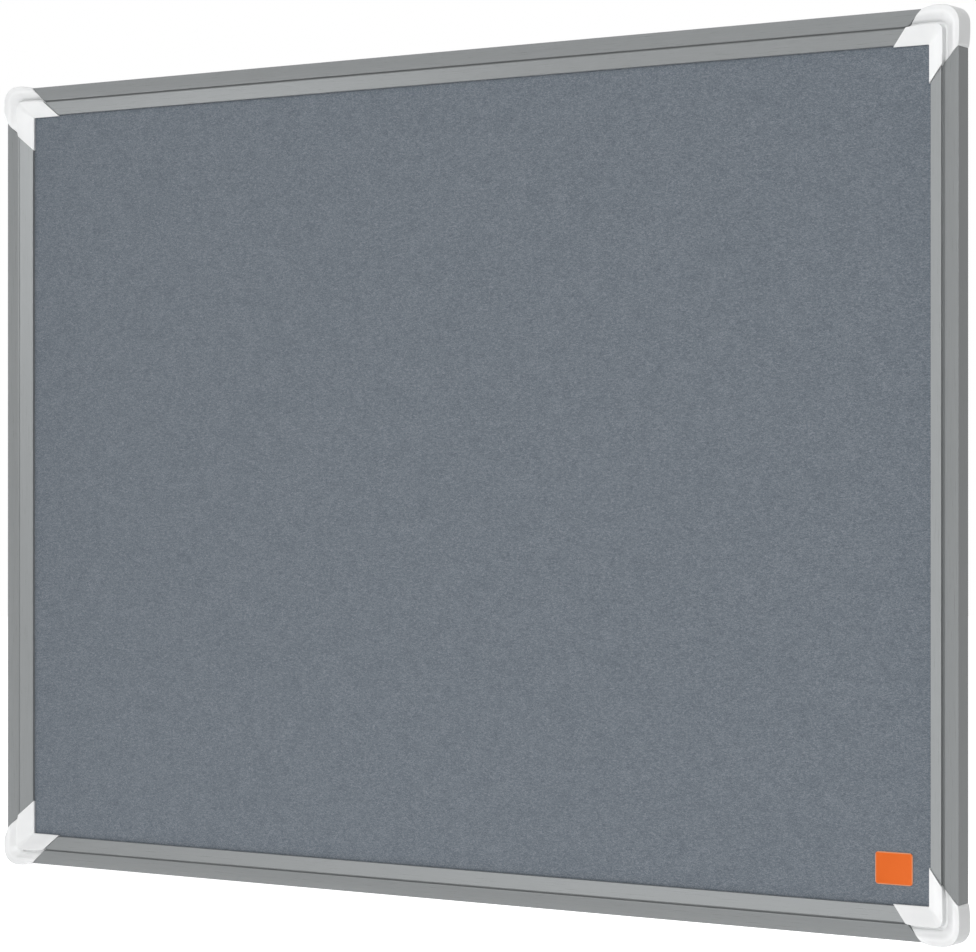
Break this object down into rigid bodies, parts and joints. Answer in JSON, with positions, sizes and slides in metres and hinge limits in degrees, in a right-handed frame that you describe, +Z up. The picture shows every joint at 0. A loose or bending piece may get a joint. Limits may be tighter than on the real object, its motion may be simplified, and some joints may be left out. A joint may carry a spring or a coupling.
{
  "type": "felt bulletin board",
  "caption": "Wall notice board with a grey felt pinning panel in an aluminium frame, moulded white corners and sliding wall clips behind.",
  "frame": {"origin": "on the wall plane, behind the middle of the board", "axes": "+X to the right seen from the front, -Y out of the wall towards the viewer, +Z up"},
  "size_m": [0.6024, 0.0136, 0.4524],
  "materials": {
    "felt": "matt felted fibre",
    "softboard": "raw",
    "backing": "matt",
    "tab": "woven",
    "aluminium": "satin anodised",
    "plastic": "satin",
    "steel": "zinc plated",
    "nylon": "satin"
  },
  "bodies": {
    "board": {"backing_sheet": "backing", "core_board": "softboard", "felt_face": "felt", "plain_tab": "tab", "rail_top": "aluminium", "rail_right": "aluminium", "rail_bottom": "aluminium", "rail_left": "aluminium", "corner_cap_top_left": "plastic", "corner_cap_top_right": "plastic", "corner_cap_bottom_right": "plastic", "corner_cap_bottom_left": "plastic", "corner_screw_top_left_1": "steel", "corner_screw_top_left_2": "steel", "corner_screw_top_right_1": "steel", "corner_screw_top_right_2": "steel", "corner_screw_bottom_right_1": "steel", "corner_screw_bottom_right_2": "steel", "corner_screw_bottom_left_1": "steel", "corner_screw_bottom_left_2": "steel"},
    "wall_clip_top_left": {"wall_clip_top_left": "nylon"},
    "wall_clip_top_right": {"wall_clip_top_right": "nylon"},
    "wall_clip_bottom_left": {"wall_clip_bottom_left": "nylon"},
    "wall_clip_bottom_right": {"wall_clip_bottom_right": "nylon"}
  },
  "joints": [
    {"name": "clip_slide_top_left", "type": "slide", "parent": "board", "child": "wall_clip_top_left", "axis": [1, 0, 0], "range_m": [-0.0426, 0.1895]},
    {"name": "clip_slide_top_right", "type": "slide", "parent": "board", "child": "wall_clip_top_right", "axis": [1, 0, 0], "range_m": [-0.1895, 0.0426]},
    {"name": "clip_slide_bottom_left", "type": "slide", "parent": "board", "child": "wall_clip_bottom_left", "axis": [1, 0, 0], "range_m": [-0.0426, 0.1895]},
    {"name": "clip_slide_bottom_right", "type": "slide", "parent": "board", "child": "wall_clip_bottom_right", "axis": [1, 0, 0], "range_m": [-0.1895, 0.0426]}
  ]
}
